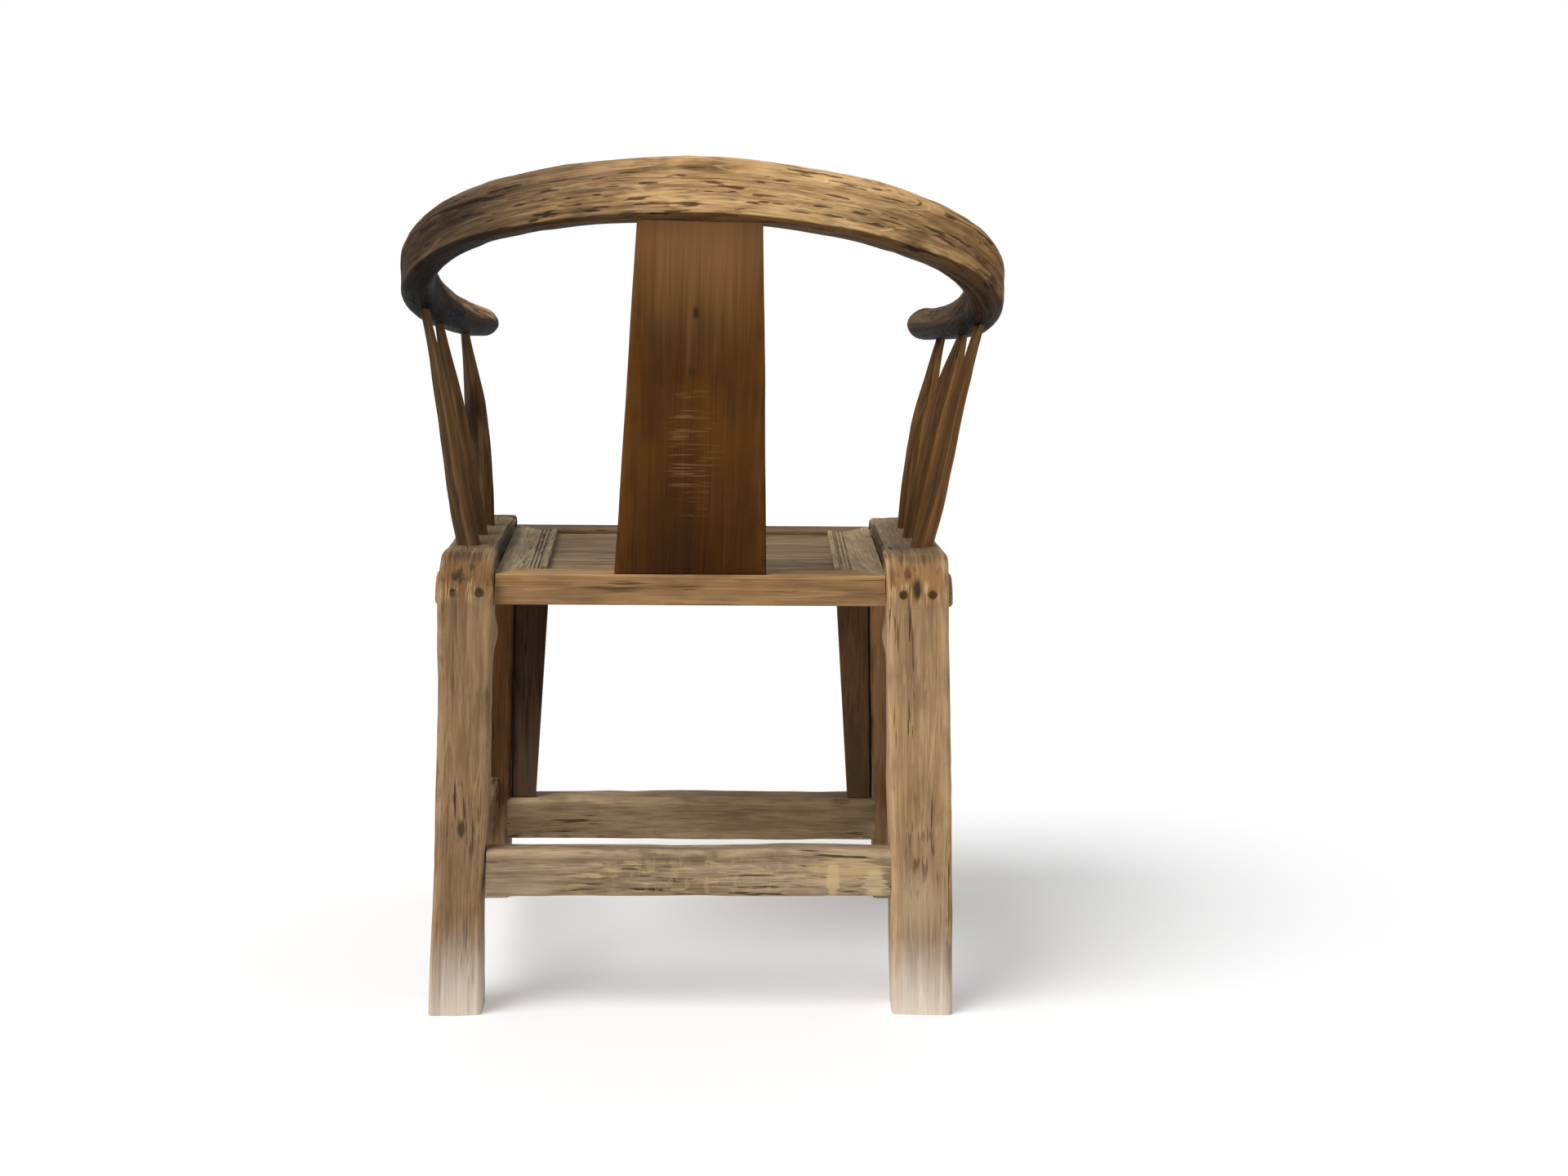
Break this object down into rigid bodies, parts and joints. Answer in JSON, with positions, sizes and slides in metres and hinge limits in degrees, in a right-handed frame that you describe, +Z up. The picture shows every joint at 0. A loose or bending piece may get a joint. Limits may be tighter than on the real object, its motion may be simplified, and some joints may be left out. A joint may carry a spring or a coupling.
{
  "type": "horseshoe back armchair",
  "caption": "Horseshoe back armchair with bent side frames, plank splat, lens-shaped spindles, recessed plank seat with reeded end rails and a low footrest.",
  "frame": {"origin": "on the floor, below the middle of the horseshoe rail's width and of the overall depth", "axes": "+Z up, the sitter faces -Y, +X is the sitter's left"},
  "size_m": [0.6697, 0.5738, 0.9128],
  "materials": {
    "frame_wood": "satin, worn and weathered",
    "crest_wood": "satin, hand-rubbed with dark checks",
    "splat_wood": "satin, reddish brown with knots",
    "spindle_wood": "satin, whittled",
    "seat_wood": "satin, worn",
    "board_wood": "matt, dry",
    "stretcher_wood": "matt, scratched grey-brown",
    "apron_wood": "matt",
    "peg_wood": "matt end grain"
  },
  "bodies": {
    "root": {"crest_rail": "crest_wood", "splat": "splat_wood", "left_rear_spindle": "spindle_wood", "left_middle_spindle": "spindle_wood", "left_front_spindle": "spindle_wood", "right_rear_spindle": "spindle_wood", "right_middle_spindle": "spindle_wood", "right_front_spindle": "spindle_wood", "left_side_frame": "frame_wood", "right_side_frame": "frame_wood", "rear_seat_rail": "seat_wood", "front_seat_rail": "seat_wood", "left_end_rail": "seat_wood", "right_end_rail": "seat_wood", "seat_rear_board": "board_wood", "seat_front_board": "board_wood", "left_panel_bead": "seat_wood", "right_panel_bead": "seat_wood", "left_seat_batten": "board_wood", "right_seat_batten": "board_wood", "rear_stretcher": "stretcher_wood", "front_stretcher": "stretcher_wood", "left_side_stretcher": "stretcher_wood", "right_side_stretcher": "stretcher_wood", "front_apron_head": "apron_wood", "left_front_apron": "apron_wood", "right_front_apron": "apron_wood", "rear_corner_pegs": "peg_wood", "front_corner_pegs": "peg_wood"}
  },
  "joints": []
}
